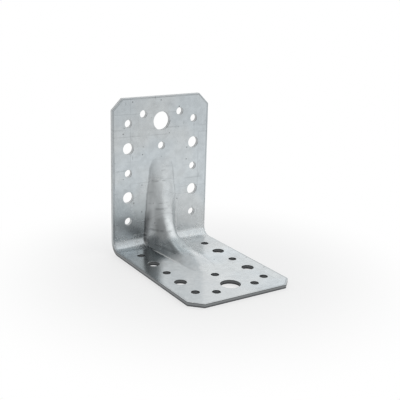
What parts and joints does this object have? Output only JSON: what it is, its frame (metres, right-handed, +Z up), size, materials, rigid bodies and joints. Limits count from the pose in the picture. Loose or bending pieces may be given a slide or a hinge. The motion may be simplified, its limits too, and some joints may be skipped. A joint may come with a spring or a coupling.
{
  "type": "reinforcing angle",
  "caption": "Folded galvanised sheet-steel angle with nail, screw and bolt holes in both legs and a stiffening rib pressed through the fold, for joining timber or concrete members.",
  "frame": {"origin": "on the underside of the flat leg, under the middle of the object's box", "axes": "+X along the fold, +Y towards the upright leg's outer face, +Z up along the upright leg"},
  "size_m": [0.07, 0.1, 0.1],
  "materials": {
    "zinc_sheet": "satin zinc coating with faint rolling streaks"
  },
  "bodies": {
    "root": {"reinforcing_angle": "zinc_sheet"}
  },
  "joints": []
}
